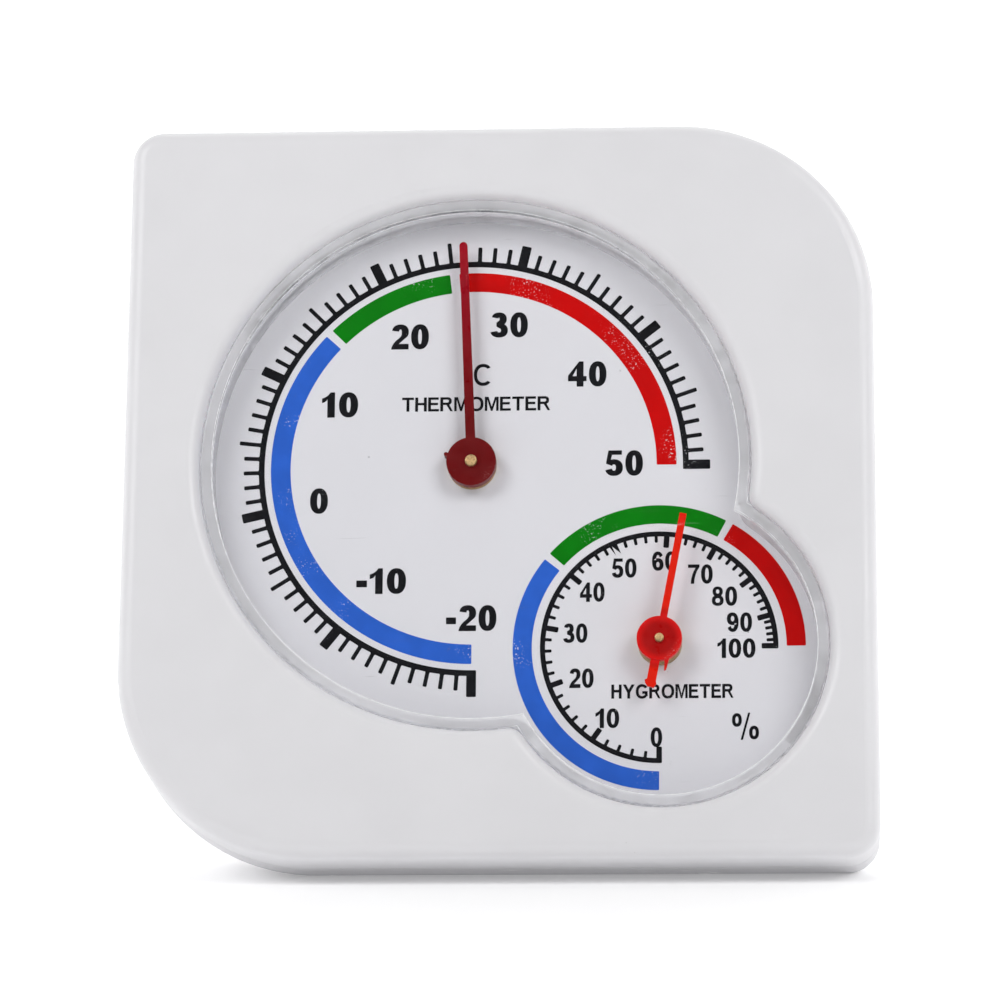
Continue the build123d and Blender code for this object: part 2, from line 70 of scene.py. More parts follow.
# ================================================================== camera
CAMERA_PITCH = 4.27  # degrees below the horizon
CAMERA_YAW = 3.60  # degrees towards -X
CAMERA_ROLL = -0.80
CAMERA_DISTANCE = 467.5  # millimetres from that axis
# where the thermometer's axis is seen, in millimetres right and up of the picture's middle
CAMERA_AIM = (-2.70, 3.23)
LENS_LENGTH = 170.9
SENSOR = 36.0


def add_camera():
    """The camera, at the photograph's viewing angle."""
    yaw = Matrix.Rotation(radians(CAMERA_YAW), 3, "Z")
    pitch = Matrix.Rotation(radians(90 - CAMERA_PITCH), 3, "X")
    turn = yaw @ pitch @ Matrix.Rotation(radians(CAMERA_ROLL), 3, "Z")
    right, up, back = turn.col
    data = bpy.data.cameras.new("camera")
    data.lens = LENS_LENGTH
    data.sensor_width = SENSOR
    data.clip_start = 0.01
    data.clip_end = 20
    camera = bpy.data.objects.new("camera", data)
    aim = (right * CAMERA_AIM[0] + up * CAMERA_AIM[1]) * MM
    location = Vector(JOINTS["temperature"]["pos_m"]) - aim + back * CAMERA_DISTANCE * MM
    camera.matrix_world = Matrix.Translation(location) @ turn.to_4x4()
    bpy.context.scene.collection.objects.link(camera)
    bpy.context.scene.camera = camera


# ================================================================== shader nodes
class Look:
    """A material with one Principled shader, and short ways to feed it."""

    def __init__(self, name, colour, roughness, **settings):
        self.material = bpy.data.materials.new(name)
        self.material.use_nodes = True
        self.tree = self.material.node_tree
        self.shader = self.tree.nodes["Principled BSDF"]
        self.shader.inputs["Base Color"].default_value = (*colour, 1)
        self.shader.inputs["Roughness"].default_value = roughness
        for socket, value in settings.items():
            self.shader.inputs[socket.replace("_", " ")].default_value = value
        self.place = self.add("ShaderNodeTexCoord").outputs["Object"]

    def add(self, kind, **settings):
        """Adds a node."""
        node = self.tree.nodes.new(kind)
        for name, value in settings.items():
            setattr(node, name, value)
        return node

    def link(self, source, target):
        """Links a socket, or sets a plain value."""
        if isinstance(source, bpy.types.NodeSocket):
            self.tree.links.new(source, target)
        else:
            target.default_value = source

    def moved(self, stretch=(1, 1, 1), turn=(0, 0, 0), offset=(0, 0, 0)):
        """The object's coordinates, scaled, turned and shifted."""
        mapping = self.add("ShaderNodeMapping")
        self.link(self.place, mapping.inputs["Vector"])
        mapping.inputs["Scale"].default_value = stretch
        mapping.inputs["Rotation"].default_value = turn
        mapping.inputs["Location"].default_value = offset
        return mapping.outputs["Vector"]

    def noise(self, size, detail=2.0, where=None):
        """Noise with features of about a size in millimetres."""
        node = self.add("ShaderNodeTexNoise")
        self.link(where or self.place, node.inputs["Vector"])
        node.inputs["Scale"].default_value = 1 / (size * MM)
        node.inputs["Detail"].default_value = detail
        return node.outputs["Fac"]

    def spots(self, size):
        """Distance from scattered points about a size in millimetres apart."""
        node = self.add("ShaderNodeTexVoronoi")
        self.link(self.place, node.inputs["Vector"])
        node.inputs["Scale"].default_value = 1 / (size * MM)
        return node.outputs["Distance"]

    def fit(self, value, low, high, to_low=0.0, to_high=1.0):
        """Maps a range of a value smoothly to another, and holds it there."""
        node = self.add("ShaderNodeMapRange", interpolation_type="SMOOTHSTEP")
        self.link(value, node.inputs["Value"])
        ends = {"From Min": low, "From Max": high, "To Min": to_low, "To Max": to_high}
        for name, number in ends.items():
            node.inputs[name].default_value = number
        return node.outputs["Result"]

    def sum(self, first, second, operation="ADD"):
        """Combines two values, by adding them unless another operation is named."""
        node = self.add("ShaderNodeMath", operation=operation)
        self.link(first, node.inputs[0])
        self.link(second, node.inputs[1])
        return node.outputs["Value"]

    def part(self, axis):
        """One of the object's coordinates, in metres."""
        split = self.add("ShaderNodeSeparateXYZ")
        self.link(self.place, split.inputs["Vector"])
        return split.outputs[axis]

    def along(self, direction, origin):
        """Distance from a point along a direction, in metres."""
        offset = self.add("ShaderNodeVectorMath", operation="SUBTRACT")
        self.link(self.place, offset.inputs[0])
        offset.inputs[1].default_value = origin
        dot = self.add("ShaderNodeVectorMath", operation="DOT_PRODUCT")
        self.link(offset.outputs["Vector"], dot.inputs[0])
        dot.inputs[1].default_value = direction
        return dot.outputs["Value"]

    def radial(self, centre):
        """Distance in metres, in the dial's plane, from a point in millimetres right and up."""
        x = self.along(ACROSS, ACROSS * centre[0] * MM)
        y = self.along(RISE, RISE * centre[1] * MM)
        squares = self.sum(self.sum(x, x, "MULTIPLY"), self.sum(y, y, "MULTIPLY"))
        return self.sum(squares, 0.5, "POWER")

    def mixed(self, amount, first, second):
        """A mix of two shaders."""
        mix = self.add("ShaderNodeMixShader")
        for socket, source in zip(mix.inputs, (amount, first, second)):
            self.link(source, socket)
        return mix.outputs[0]

    def finish(self, shader):
        """Makes a shader the material's surface."""
        self.link(shader, self.tree.nodes["Material Output"].inputs["Surface"])

    def tint(self, amount, colour):
        """Mixes a colour into the base colour by an amount from a socket."""
        node = self.add("ShaderNodeMix", data_type="RGBA")
        target = self.shader.inputs["Base Color"]
        start = target.links[0].from_socket if target.is_linked else tuple(target.default_value)
        self.link(amount, node.inputs["Factor"])
        self.link(start, node.inputs["A"])
        node.inputs["B"].default_value = (*colour, 1)
        self.link(node.outputs["Result"], target)

    def rough(self, value, low, high):
        """Lets a value from 0 to 1 move the roughness between two numbers."""
        self.link(self.fit(value, 0.25, 0.75, low, high), self.shader.inputs["Roughness"])

    def bump(self, height, depth, strength=1.0):
        """Adds relief of a depth in millimetres."""
        node = self.add("ShaderNodeBump")
        target = self.shader.inputs["Normal"]
        if target.is_linked:
            self.link(target.links[0].from_socket, node.inputs["Normal"])
        node.inputs["Strength"].default_value = strength
        node.inputs["Distance"].default_value = depth * MM
        self.link(height, node.inputs["Height"])
        self.link(node.outputs["Normal"], target)


# ================================================================== materials
# the lens's rim, where pale lines are painted highlights and a pale flange is painted light, in
# millimetres outwards from the window's outline
RIM_HIGHLIGHT_LINES = (-0.1, -1.2)
RIM_HIGHLIGHT_WIDTH = 0.07
FLANGE_EDGE = (-1.25, -1.15)
FLANGE_PAINTED_LIGHT = 0.32


def moulded_plastic(name, colour, roughness, grain_size, grain_depth):
    """White moulded plastic: mottling, dust, fine grain, hairline scratches and a scuffed foot."""
    look = Look(name, colour, roughness, IOR=1.5)
    darker = tuple(0.93 * channel for channel in colour)
    look.tint(look.fit(look.noise(14, 3), 0.35, 0.7, 0, 0.35), darker)
    dust = look.fit(look.spots(2.2), 0.02, 0.035, 0.4, 0)
    look.tint(look.sum(dust, look.fit(look.noise(9, 1), 0.55, 0.66), "MULTIPLY"), (0.5, 0.49, 0.48))
    scuffs = look.fit(look.noise(0.8, 4, look.moved((0.3, 1, 1.6))), 0.58, 0.66)
    foot = look.fit(look.part("Z"), 0.4 * MM, 2.2 * MM, 1, 0)
    patches = look.fit(look.noise(7, 2), 0.5, 0.6)
    worn = look.sum(look.sum(scuffs, foot, "MULTIPLY"), patches, "MULTIPLY")
    look.tint(worn, (0.93, 0.93, 0.93))
    look.rough(look.noise(3, 4), roughness - 0.05, roughness + 0.09)
    look.bump(look.noise(grain_size, 3), grain_depth)
    hairlines = look.fit(look.noise(0.35, 2, look.moved((0.05, 1, 1), (0, 0.5, 0.9))), 0.7, 0.78)
    look.bump(hairlines, 0.004, 0.6)
    return look.material


def clear_plastic():
    """The lens: clear polystyrene with hairline scratches, and pale lines and a pale flange at its rim
    that are painted highlights and painted light.

    Shadow and diffuse rays pass straight through it, so that the lamps light the dial behind.
    """
    look = Look("lens_clear", (0.985, 0.987, 0.99), 0.0, IOR=1.45)
    look.shader.inputs["Transmission Weight"].default_value = 1.0
    scratches = look.fit(look.noise(0.3, 2, look.moved((0.04, 1, 1), (0.4, 0.2, 0.7))), 0.72, 0.8)
    more = look.fit(look.noise(0.4, 2, look.moved((1, 0.05, 1), (0.2, 0.9, 0.3))), 0.74, 0.8)
    marks = look.fit(look.sum(scratches, more), 0, 1, 0, 0.1)
    look.bump(look.noise(25, 1), 0.003, 0.3)
    path = look.add("ShaderNodeLightPath").outputs
    light = look.sum(path["Is Shadow Ray"], path["Is Diffuse Ray"], "MAXIMUM")
    through = look.add("ShaderNodeBsdfTransparent")
    through.inputs["Color"].default_value = (0.97, 0.97, 0.975, 1)
    # pale diffuse white, for the hairline scratches and for the rim's painted highlights and painted
    # light
    frost_and_painted_highlight = look.add("ShaderNodeBsdfDiffuse")
    frost_and_painted_highlight.inputs["Color"].default_value = (0.88, 0.88, 0.9, 1)
    # painted highlights: pale lines along the rim, broken by noise; painted light: a pale haze over the
    # flange
    edge = rim_distance(look)
    outer, inner = (near(look, edge, line, RIM_HIGHLIGHT_WIDTH) for line in RIM_HIGHLIGHT_LINES)
    lines = look.sum(outer, inner, "MAXIMUM")
    broken = look.fit(look.noise(0.5, 3), 0.3, 0.6, 0.5, 0.9)
    flange_painted_light = look.fit(edge, FLANGE_EDGE[0] * MM, FLANGE_EDGE[1] * MM, 0.0, FLANGE_PAINTED_LIGHT)
    rim_painted_light = look.sum(look.sum(lines, broken, "MULTIPLY"), flange_painted_light, "MAXIMUM")
    scratch_haze_and_painted_highlight = look.sum(rim_painted_light, marks)
    clear = look.mixed(scratch_haze_and_painted_highlight, look.shader.outputs[0], frost_and_painted_highlight.outputs[0])
    look.finish(look.mixed(light, clear, through.outputs[0]))
    return look.material


def rim_distance(look):
    """Distance outwards from the window's outline, two joined circles, in metres."""
    large = look.sum(look.radial(WINDOWS[0][0]), WINDOWS[0][1] * MM, "SUBTRACT")
    small = look.sum(look.radial(WINDOWS[1][0]), WINDOWS[1][1] * MM, "SUBTRACT")
    return look.sum(large, small, "MINIMUM")


def near(look, value, middle, width):
    """How near a value in metres is to one in millimetres, 1 on it and 0 a width away."""
    off = look.sum(look.sum(value, middle * MM, "SUBTRACT"), 0, "ABSOLUTE")
    return look.fit(off, 0, width * MM, 1, 0)


def dial_sheet():
    """The dial's smooth off-white face."""
    look = Look("dial_white", (0.84, 0.836, 0.868), 0.45, Specular_IOR_Level=0.3)
    look.tint(look.fit(look.noise(22, 2), 0.4, 0.7, 0, 0.3), (0.80, 0.797, 0.825))
    specks = look.fit(look.spots(3.1), 0.02, 0.04, 1, 0)
    look.tint(look.sum(specks, look.fit(look.noise(6, 1), 0.55, 0.62), "MULTIPLY"), (0.4, 0.4, 0.42))
    look.rough(look.noise(4, 3), 0.4, 0.52)
    look.bump(look.noise(0.25, 2), 0.0015)
    return look.material


def ink(name, colour, wear, worn_colour=(0.78, 0.78, 0.8)):
    """Screen-printed ink: slightly uneven, with small chips where it has worn."""
    look = Look(name, colour, 0.42, Specular_IOR_Level=0.08)
    lighter = tuple(min(1, 1.2 * channel) for channel in colour)
    look.tint(look.fit(look.noise(2.5, 4), 0.35, 0.7, 0, 0.6), lighter)
    chips = look.fit(look.noise(0.16, 3), 0.62, 0.66)
    elsewhere = look.moved(offset=(0.013, 0.007, 0.021))
    patches = look.fit(look.noise(5, 2, elsewhere), 0.6 - wear, 0.74 - wear)
    look.tint(look.sum(chips, patches, "MULTIPLY"), worn_colour)
    look.rough(look.noise(1.2, 3), 0.36, 0.5)
    look.bump(look.noise(0.3, 2), 0.002)
    return look.material


def pointer_plastic(name, joint, painted_shade_hub_colour, painted_light_tip_colour, rim_highlight_and_speck_colour, reach, hub_radius):
    """Red moulded plastic with painted shade, darkest on the hub, a painted highlight ring at the hub's
    edge, and flecks on the hub's lower right.

    The colour turns from the hub's painted shade to the tip's painted light between the hub's radius
    and the reach, in millimetres.
    """
    look = Look(name, painted_shade_hub_colour, 0.32, IOR=1.5, Specular_IOR_Level=0.18)
    axis = Vector(JOINTS[joint]["pos_m"]) / MM
    middle = (axis.x, RISE.dot(axis))
    hub = hub_radius * MM
    out = look.radial(middle)
    # painted shade and light: the hub darker and the blade lighter towards its tip, as light through
    # thin translucent plastic would show
    look.tint(look.fit(out, hub, reach * MM), painted_light_tip_colour)
    # painted highlight: a lighter ring round the hub's edge
    inside = look.fit(out, 0.6 * hub, hub)
    outside = look.fit(out, 1.05 * hub, 1.3 * hub, 1, 0)
    look.tint(look.sum(inside, outside, "MULTIPLY"), rim_highlight_and_speck_colour)
    side = (ACROSS - 0.8 * RISE).normalized()
    lower_right = look.along(side, (ACROSS * middle[0] + RISE * middle[1]) * MM)
    beyond = look.fit(lower_right, 0.6 * hub, 0.95 * hub)
    within = look.fit(out, hub, 1.05 * hub, 1, 0)
    corner = look.sum(beyond, within, "MULTIPLY")
    flecks = look.fit(look.noise(0.09, 2), 0.62, 0.66)
    look.tint(look.sum(flecks, corner, "MULTIPLY"), (0.6, 0.3, 0.28))
    look.tint(look.fit(look.noise(0.2, 2), 0.7, 0.74, 0, 0.5), rim_highlight_and_speck_colour)
    look.rough(look.noise(1.0, 3), 0.26, 0.42)
    look.bump(look.noise(0.5, 2), 0.003)
    return look.material


def metal(name, colour, roughness, streak=(1, 1, 1)):
    """Bare metal: drawn or turned streaks, with a little tarnish."""
    look = Look(name, colour, roughness, Metallic=1.0)
    dull = tuple(0.55 * channel for channel in colour)
    dark = tuple(0.4 * channel for channel in colour)
    look.tint(look.fit(look.noise(1.3, 4), 0.4, 0.75, 0, 0.6), dull)
    look.tint(look.fit(look.noise(0.22, 2), 0.5, 0.62, 0, 0.55), dark)
    look.rough(look.noise(0.25, 3, look.moved(streak)), roughness - 0.08, roughness + 0.12)
    look.bump(look.noise(0.12, 2, look.moved(streak)), 0.002)
    return look.material


def dress(node, made):
    """Gives a CAD node its material."""
    data = frame["nodes"][node].data
    data.materials.clear()
    data.materials.append(made)


def dress_nodes():
    """Materials of the CAD nodes."""
    case = moulded_plastic(
        "case_white", (0.76, 0.755, 0.775), roughness=0.36, grain_size=0.35, grain_depth=0.003
    )
    textured = moulded_plastic(
        "case_textured", (0.75, 0.745, 0.765), roughness=0.5, grain_size=0.28, grain_depth=0.012
    )
    dress("front_bezel", case)
    dress("rear_cover", textured)
    dress("stand_leg", textured)
    dress("lens", clear_plastic())
    dress("dial_plate", dial_sheet())
    dark_red = pointer_plastic(
        "pointer_dark_red", "temperature", painted_shade_hub_colour=(0.14, 0.0, 0.001),
        painted_light_tip_colour=(0.34, 0.0, 0.01), rim_highlight_and_speck_colour=(0.15, 0.0, 0.001), reach=23, hub_radius=2.45,
    )
    dress("thermometer_pointer", dark_red)
    bright_red = pointer_plastic(
        "pointer_red", "humidity", painted_shade_hub_colour=(0.42, 0.0, 0.0),
        painted_light_tip_colour=(0.83, 0.012, 0.0), rim_highlight_and_speck_colour=(0.74, 0.004, 0.003), reach=3.4, hub_radius=2.2,
    )
    dress("hygrometer_pointer", bright_red)
    brass = metal("brass", (0.6, 0.41, 0.2), 0.45)
    sheet_brass = metal("bridge_brass", (0.62, 0.45, 0.2), 0.34, (0.2, 1, 1))
    steel = metal("plated_steel", (0.56, 0.56, 0.55), 0.36, (1, 0.2, 1))
    screw = metal("screw_steel", (0.5, 0.5, 0.5), 0.34)
    for name in ("thermometer", "hygrometer"):
        for piece in ("arbor", "bush", "collet"):
            dress(f"{name}_{piece}", brass)
        dress(f"{name}_bridge", sheet_brass)
        dress(f"{name}_adjuster", steel)
    dress("thermometer_coil", metal("bimetal", (0.5, 0.46, 0.42), 0.4, (1, 1, 0.2)))
    dress("hygrometer_coil", metal("humidity_strip", (0.56, 0.4, 0.24), 0.42, (1, 1, 0.2)))
    for node in ("case_screws", "dial_screws", "bridge_screws"):
        dress(node, screw)


# ================================================================== print on the dial
BAND_CORNER = 0.12  # millimetres by which ink rounds a corner
COMB_CORNER = 0.13


def clockwise(degrees, radius):
    """A point at an angle clockwise from straight up."""
    return Vector((radius * sin(radians(degrees)), radius * cos(radians(degrees))))


def arc(radius, start, end, step=1.5):
    """Points along an arc, in degrees clockwise from straight up."""
    count = max(2, round(abs(end - start) / step))
    return [clockwise(start + (end - start) * i / count, radius) for i in range(count + 1)]


def softened(points, radius, least_turn=25, steps=4):
    """A closed outline with its sharp corners rounded."""
    made = []
    for before, here, after in zip(points[-1:] + points[:-1], points, points[1:] + points[:1]):
        to_before = before - here
        to_after = after - here
        turn = 180 - abs(to_before.angle(to_after)) * 180 / pi
        if turn < least_turn:
            made.append(here)
            continue
        reach = min(radius, 0.45 * to_before.length, 0.45 * to_after.length)
        start = here + to_before.normalized() * reach
        end = here + to_after.normalized() * reach
        for i in range(steps + 1):
            t = i / steps
            made.append(start * (1 - t) ** 2 + here * 2 * t * (1 - t) + end * t**2)
    return made


def print_curve(name, outlines):
    """A flat filled curve of closed outlines."""
    data = bpy.data.curves.new(name, "CURVE")
    data.dimensions = "2D"
    data.fill_mode = "BOTH"
    for outline in outlines:
        spline = data.splines.new("POLY")
        spline.points.add(len(outline) - 1)
        for point, place in zip(spline.points, outline):
            point.co = (place[0], place[1], 0, 1)
        spline.use_cyclic_u = True
    return data


def print_piece(name, data, place, look):
    """Makes a thin solid print of a curve, lying in the face of the dial plate."""
    data.extrude = (PRINT_TOP + PRINT_DEPTH) / 2
    holder = bpy.data.objects.new(name + "_outline", data)
    bpy.context.scene.collection.objects.link(holder)
    bpy.context.view_layer.update()
    graph = bpy.context.evaluated_depsgraph_get()
    mesh = bpy.data.meshes.new_from_object(holder.evaluated_get(graph))
    bpy.data.objects.remove(holder)
    mesh.name = name
    welded = bmesh.new()
    welded.from_mesh(mesh)
    bmesh.ops.remove_doubles(welded, verts=welded.verts, dist=WELD)
    welded.to_mesh(mesh)
    welded.free()
    mesh.transform(place @ Matrix.Translation((0, 0, (PRINT_TOP - PRINT_DEPTH) / 2)))
    mesh.materials.clear()
    mesh.materials.append(look)
    piece = bpy.data.objects.new(name, mesh)
    bpy.context.scene.collection.objects.link(piece)
    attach(piece, "case")


def band(inner, outer, start, end):
    """Outline of a coloured band."""
    return softened(arc(outer, start, end) + arc(inner, end, start), BAND_CORNER)


def comb(back, root, teeth):
    """Outline of a ring with teeth, each given as its angle, tip radius and width."""
    outline = []
    for before, (angle, tip, width) in zip([teeth[0], *teeth], teeth):
        if outline:
            outline += arc(root, before[0], angle)[1:-1]
        side = clockwise(angle + 90, width / 2)
        outline += [clockwise(angle, root) - side, clockwise(angle, tip) - side]
        outline += [clockwise(angle, tip) + side, clockwise(angle, root) + side]
    first, last = teeth[0], teeth[-1]
    start = clockwise(first[0], back) - clockwise(first[0] + 90, first[2] / 2)
    end = clockwise(last[0], back) + clockwise(last[0] + 90, last[2] / 2)
    return softened([*outline, end, *arc(back, last[0], first[0])[1:-1], start], COMB_CORNER)


# ------------------------------------------------------------------ plain sans-serif characters
# Characters are drawn one unit tall, as closed outlines whose overlaps are holes. Each has
# a function of s and t, the widths of its upright and level strokes, and may need only one.
OVAL_POWER = 2.25  # 2 would be a plain oval
# widths of a character's upright and level strokes
HEAVY = (0.26, 0.2)
BOLD = (0.225, 0.18)
MEDIUM = (0.22, 0.185)
LIGHT = (0.2, 0.17)
UNIT = (0.16, 0.15)
PERCENT = (0.15, 0.13)
DEGREE = (0.12, 0.12)
GAP = 0.09  # between characters
CORNER = 0.018  # how far ink rounds a character's corners


def oval(x, y, wide, tall, start=0, end=360, step=9):
    """Points of a slightly squared oval, from one angle to another, anticlockwise from the right."""
    count = max(2, round(abs(end - start) / step))
    made = []
    for i in range(count + 1):
        turn = radians(start + (end - start) * i / count)
        across = abs(cos(turn)) ** (2 / OVAL_POWER) * (1 if cos(turn) >= 0 else -1)
        up = abs(sin(turn)) ** (2 / OVAL_POWER) * (1 if sin(turn) >= 0 else -1)
        made.append(Vector((x + wide * across, y + tall * up)))
    return made


def bend(start, middle, end, steps=6):
    """Points of a curve between two points."""
    start, middle, end = Vector(start), Vector(middle), Vector(end)
    made = []
    for i in range(steps + 1):
        t = i / steps
        made.append(start * (1 - t) ** 2 + middle * 2 * t * (1 - t) + end * t**2)
    return made


def lines(*points):
    """Points given as pairs."""
    return [Vector(point) for point in points]


def ring(x, y, wide, tall, upright, level):
    """An oval with an oval hole."""
    return [oval(x, y, wide, tall)[:-1], oval(x, y, wide - upright, tall - level)[:-1]]


def figure_one(s, t):
    """The figure 1."""
    flag = bend((0.29, 1), (0.2, 0.82), (0, 0.76)) + bend((0, 0.58), (0.16, 0.62), (0.45 - s, 0.74))
    return [lines((0.45, 0), (0.45, 1)) + flag + lines((0.45 - s, 0))]


def figure_two(s, t):
    """The figure 2."""
    outer = oval(0.34, 0.7, 0.31, 0.3, 172, -36)
    inner = oval(0.34, 0.7, 0.31 - s, 0.3 - t, -32, 172)
    slope = bend(outer[-1], (0.5, 0.42), (0.28, t + 0.02))
    rise = bend((0, 0), (0.03, 0.2), (0.2, 0.37))[:-1] + bend((0.2, 0.37), (0.42, 0.53), inner[0])[:-1]
    return [outer[:-1] + slope + lines((0.65, t + 0.02), (0.65, 0)) + rise + inner]


def figure_three(s, t):
    """The figure 3."""
    upper = oval(0.32, 0.735, 0.285, 0.265, 165, -47)
    lower = oval(0.32, 0.285, 0.33, 0.285, 57, -168)
    lower_inner = oval(0.32, 0.285, 0.33 - s, 0.285 - t, -165, 82)
    upper_inner = oval(0.31, 0.735, 0.285 - s, 0.265 - t, -75, 162)
    return [upper + lower + lower_inner + lines((0.22, 0.435), (0.22, 0.6)) + upper_inner]


def figure_four(s, t):
    """The figure 4."""
    stem = 0.585
    bar = 0.215
    outer = lines(
        (stem, 0), (stem, bar), (0.7, bar), (0.7, bar + t), (stem, bar + t), (stem, 1),
        (stem - 0.165, 1), (0, bar + t + 0.02), (0, bar), (stem - s, bar), (stem - s, 0),
    )
    return [outer, lines((stem - s, bar + t), (stem - s, 0.72), (0.17, bar + t))]


def figure_five(s, t):
    """The figure 5."""
    outer = oval(0.31, 0.325, 0.335, 0.325, 108, -165)
    inner = oval(0.31, 0.325, 0.335 - s, 0.325 - t, -165, 150)
    top = lines((0.1, 1), (0.61, 1), (0.61, 0.83), (0.24, 0.83))
    return [top + outer + inner + lines((0.01, 0.48))]


def figure_six(s, t):
    """The figure 6."""
    outer = oval(0.33, 0.5, 0.33, 0.5, 33, 262)
    bowl = oval(0.335, 0.325, 0.32, 0.325, 278, 495)
    inner = oval(0.34, 0.5, 0.34 - s, 0.5 - t, 172, 33)
    return [outer + bowl + inner, oval(0.335, 0.32, 0.32 - s, 0.32 - t)[:-1]]


def figure_seven(s, t):
    """The figure 7."""
    right = bend((0.65, 0.86), (0.38, 0.56), (0.34, 0))
    left = bend((0.15, 0), (0.18, 0.48), (0.43, 0.825))
    return [lines((0, 1), (0.65, 1)) + right + left + lines((0, 0.825))]


def figure_eight(s, t):
    """The figure 8."""
    upper = oval(0.33, 0.74, 0.285, 0.26, -48, 228)
    lower = oval(0.33, 0.28, 0.33, 0.28, 123, 417)
    holes = [
        oval(0.33, 0.74, 0.285 - 0.85 * s, 0.26 - 0.85 * t)[:-1],
        oval(0.33, 0.28, 0.33 - 0.9 * s, 0.28 - 0.9 * t)[:-1],
    ]
    return [upper + lower, *holes]


def figure_nine(s, t):
    """The figure 9, a 6 turned round."""
    return [[Vector((0.66 - x, 1 - y)) for x, y in outline] for outline in figure_six(s, t)]


def letter_r(s, t):
    """The letter R."""
    bowl = oval(0.5, 0.725, 0.29, 0.275, 90, -68)
    hole = oval(0.48, 0.725, 0.29 - s + 0.02, 0.275 - t, 90, -90)
    leg = lines((0.87, 0), (0.7, 0), (0.42, 0.45), (s, 0.45), (s, 0))
    return [lines((0, 0), (0, 1)) + bowl + leg, lines((s, 1 - t)) + hole + lines((s, 0.45 + t))]


def letter_m(s, t):
    """The letter M."""
    stem = 0.85 * s
    top = [(0, 0), (0, 1), (stem + 0.08, 1), (0.475, 0.3), (0.87 - stem, 1), (0.95, 1), (0.95, 0)]
    inside = [(0.95 - stem, 0), (0.95 - stem, 0.8), (0.535, 0), (0.415, 0), (stem, 0.8), (stem, 0)]
    return [lines(*top, *inside)]


def letter_y(s, t):
    """The letter Y."""
    fork = 1 - 0.58 * (0.46 - 1.1 * s) / (0.46 - s / 2)
    left, right = 0.46 - s / 2, 0.46 + s / 2
    arm = lines((right, 0), (right, 0.42), (0.92, 1), (0.92 - 1.1 * s, 1), (0.46, fork))
    return [arm + lines((1.1 * s, 1), (0, 1), (left, 0.42), (left, 0))]


def letter_g(s, t):
    """The letter G."""
    outer = oval(0.48, 0.5, 0.48, 0.515, 33, 322)
    inner = oval(0.48, 0.5, 0.48 - s, 0.515 - t, 314, 37)
    hook = lines(
        (0.92, 0.16), (0.92, 0.52), (0.5, 0.52),
        (0.5, 0.52 - t), (0.92 - s, 0.52 - t), (0.92 - s, 0.2),
    )
    return [outer + hook + inner]


def letter_c(s, t):
    """The letter C."""
    return [oval(0.46, 0.5, 0.46, 0.515, 40, 320) + oval(0.46, 0.5, 0.46 - s, 0.515 - t, 312, 48)]


def percent(s, t):
    """The percent sign."""
    slash = lines((0.38, -0.04), (0.48, -0.04), (0.82, 1.04), (0.72, 1.04))
    return [*ring(0.22, 0.75, 0.22, 0.27, s, t), *ring(0.98, 0.25, 0.22, 0.27, s, t), slash]


def figure_zero(s, t):
    """The figure 0."""
    return ring(0.33, 0.5, 0.33, 0.5, s, t)


def minus(s, t):
    """The minus sign, as thick as an upright stroke."""
    return [lines((0, 0.27), (0.37, 0.27), (0.37, 0.27 + s), (0, 0.27 + s))]


def letter_t(s, t):
    """The letter T."""
    left, right = 0.41 - s / 2, 0.41 + s / 2
    stem = ((left, 1 - t), (left, 0), (right, 0), (right, 1 - t))
    return [lines((0, 1), (0, 1 - t), *stem, (0.82, 1 - t), (0.82, 1))]


def letter_h(s, t):
    """The letter H."""
    low, high = 0.53 - t / 2, 0.53 + t / 2
    top = ((0, 0), (0, 1), (s, 1), (s, high), (0.8 - s, high), (0.8 - s, 1))
    return [lines(*top, (0.8, 1), (0.8, 0), (0.8 - s, 0), (0.8 - s, low), (s, low), (s, 0))]


def letter_e(s, t):
    """The letter E."""
    low, high = 0.53 - t / 2, 0.53 + t / 2
    top = ((0, 0), (0, 1), (0.73, 1), (0.73, 1 - t), (s, 1 - t), (s, high), (0.68, high))
    return [lines(*top, (0.68, low), (s, low), (s, t), (0.75, t), (0.75, 0))]


def letter_o(s, t):
    """The letter O."""
    return ring(0.49, 0.5, 0.49, 0.515, s, t)


def degree(s, t):
    """The degree sign's ring."""
    return ring(0.5, 0.5, 0.5, 0.5, s, t)


# each character's width and the function that draws it
CHARACTERS = {
    "0": (0.66, figure_zero),
    "1": (0.5, figure_one),
    "2": (0.65, figure_two),
    "3": (0.65, figure_three),
    "4": (0.7, figure_four),
    "5": (0.65, figure_five),
    "6": (0.66, figure_six),
    "7": (0.65, figure_seven),
    "8": (0.66, figure_eight),
    "9": (0.66, figure_nine),
    "-": (0.37, minus),
    "T": (0.82, letter_t),
    "H": (0.8, letter_h),
    "E": (0.75, letter_e),
    "R": (0.87, letter_r),
    "M": (0.95, letter_m),
    "O": (0.98, letter_o),
    "Y": (0.92, letter_y),
    "G": (0.95, letter_g),
    "C": (0.92, letter_c),
    "%": (1.2, percent),
    "o": (1, degree),
}


def lettering(name, text, middle, height, width, strokes, gap, place, look):
    """Text drawn to a height and width, centred on a point."""
    pen = 0
    outlines = []
    for character in text:
        wide, draw = CHARACTERS[character]
        outlines += [[point + Vector((pen, 0)) for point in outline] for outline in draw(*strokes)]
        pen += wide + gap
    stretch = Matrix.Diagonal((width / (pen - gap), height))
    shift = Vector(middle) - Vector((width, height)) / 2
    placed = []
    for outline in outlines:
        placed.append(softened([stretch @ point + shift for point in outline], CORNER * height))
    print_piece(name, print_curve(name, placed), place, look)


# ------------------------------------------------------------------ the two scales
SCALE_START = -180.0  # degrees clockwise from straight up
SCALE_END = 90.0

